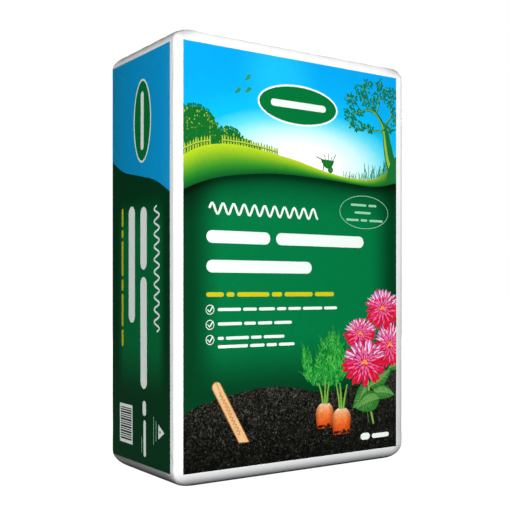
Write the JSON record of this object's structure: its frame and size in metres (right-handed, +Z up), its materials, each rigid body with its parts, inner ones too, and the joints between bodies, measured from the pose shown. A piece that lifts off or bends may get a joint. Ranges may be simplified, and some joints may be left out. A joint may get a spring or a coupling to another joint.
{
  "type": "compost bag",
  "caption": "Large sealed film bag of potting compost, packed into an upright block with soft rounded edges and a welded top fin folded flat.",
  "frame": {"origin": "middle of the base, on the surface that the bag stands on", "axes": "+Z up through the bag, -Y out of the printed front, +X to the right of someone who looks at the front"},
  "size_m": [0.503, 0.244, 0.759],
  "materials": {
    "printed_film": "white polythene film with a soft gloss, printed on its front, back and sides with a garden scene over dark green, unprinted and white along its edges"
  },
  "bodies": {
    "root": {"compost_bag": "printed_film"}
  },
  "joints": []
}
